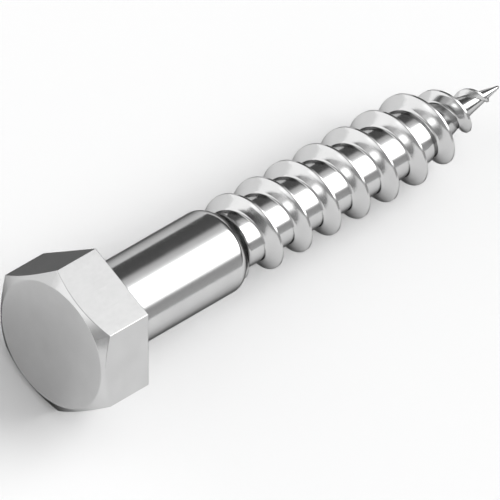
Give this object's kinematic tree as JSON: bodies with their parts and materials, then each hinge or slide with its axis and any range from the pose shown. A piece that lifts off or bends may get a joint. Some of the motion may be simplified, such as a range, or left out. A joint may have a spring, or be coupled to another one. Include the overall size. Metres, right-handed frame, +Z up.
{
  "type": "coach screw",
  "caption": "Hexagon-head coach screw for wood, with a plain shank, a coarse thread and a gimlet point, lying at rest on one flat of its head.",
  "frame": {"origin": "middle of the footprint, on the floor that the screw lies on", "axes": "+X from the head to the point, along the floor under the screw's axis, which dips 3.7 degrees towards the point; +Z up, out of the head's upper flat; the head's lower flat and the thread touch the floor z = 0"},
  "size_m": [0.0558, 0.015, 0.0133],
  "materials": {
    "bright_steel": "bright plated steel, smooth, with clear reflections"
  },
  "bodies": {
    "root": {"coach_screw": "bright_steel"}
  },
  "joints": []
}
